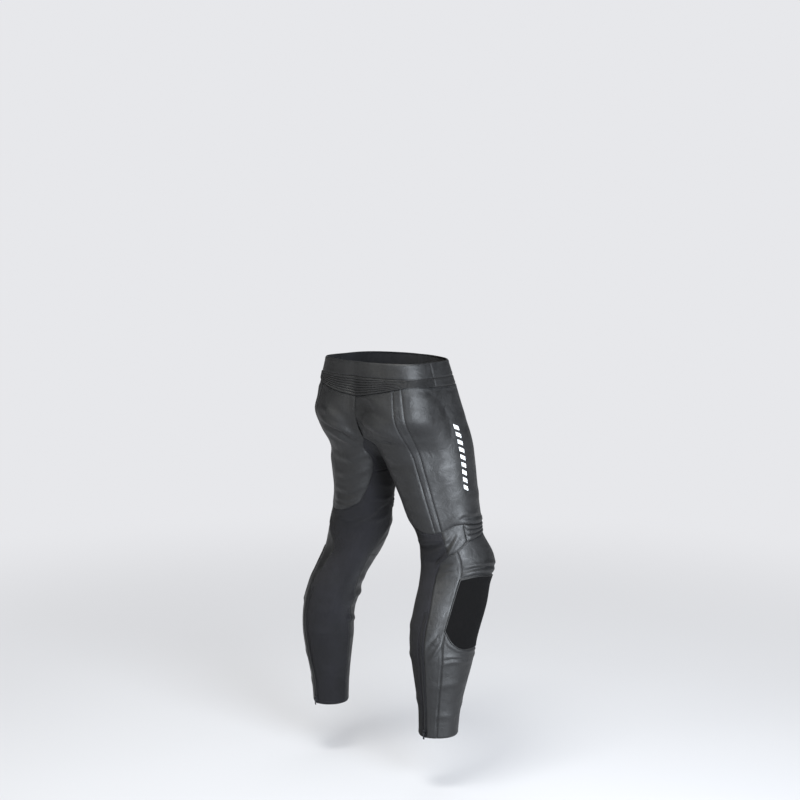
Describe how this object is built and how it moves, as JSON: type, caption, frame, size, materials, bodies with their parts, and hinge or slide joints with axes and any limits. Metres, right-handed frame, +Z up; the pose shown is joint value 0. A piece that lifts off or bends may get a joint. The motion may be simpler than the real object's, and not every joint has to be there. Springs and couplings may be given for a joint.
{
  "type": "motorcycle trousers",
  "caption": "Worn black leather racing trousers with stretch inner legs, ribbed lumbar and knee panels, loop knee patches and zipped calves, hollow and open at waist and hems.",
  "frame": {"origin": "centre of the waist opening, level with the waistband's top edge", "axes": "+Z up through the waist, -Y the way the wearer faces, +X the wearer's left"},
  "size_m": [0.5328, 0.3031, 0.9282],
  "materials": {
    "leather": "black pigmented cowhide, satin",
    "stretch": "woven aramid stretch fabric, matt black",
    "loop": "hook and loop patch, deep black pile",
    "metal": "blackened zinc",
    "print": "white plastisol transfer"
  },
  "bodies": {
    "trousers": {"seat_r": "leather", "side_strip_r": "leather", "thigh_front_r": "leather", "knee_accordion_r": "leather", "knee_wedge_r": "leather", "knee_cap_r": "leather", "shin_r": "leather", "calf_outer_r": "leather", "waistband_front_r": "leather", "yoke_front_r": "leather", "seat_l": "leather", "side_strip_l": "leather", "thigh_front_l": "leather", "knee_accordion_l": "leather", "knee_wedge_l": "leather", "knee_cap_l": "leather", "shin_l": "leather", "calf_outer_l": "leather", "waistband_front_l": "leather", "yoke_front_l": "leather", "waistband_back": "leather", "lumbar_accordion": "leather", "fly_placket": "leather", "waist_tab": "leather", "inner_stretch_r": "stretch", "inner_stretch_l": "stretch", "calf_zip_r": "stretch", "calf_zip_l": "stretch", "crotch_gusset": "stretch", "knee_slider_patch_r": "loop", "knee_slider_patch_l": "loop", "zip_slider_r": "metal", "zip_slider_l": "metal", "waist_snap": "metal", "thigh_mark": "print"},
    "pull_r": {"zip_pull_r": "metal"},
    "pull_l": {"zip_pull_l": "metal"}
  },
  "joints": [
    {"name": "zip_pull_r_hinge", "type": "hinge", "parent": "trousers", "child": "pull_r", "pos_m": [-0.19417, 0.0708, -0.91205], "axis": [0.9791, 0.2012, 0.0295], "range_deg": [0, 100]},
    {"name": "zip_pull_l_hinge", "type": "hinge", "parent": "trousers", "child": "pull_l", "pos_m": [0.19272, 0.0755, -0.91229], "axis": [0.9798, -0.1996, 0.0146], "range_deg": [0, 100]}
  ]
}
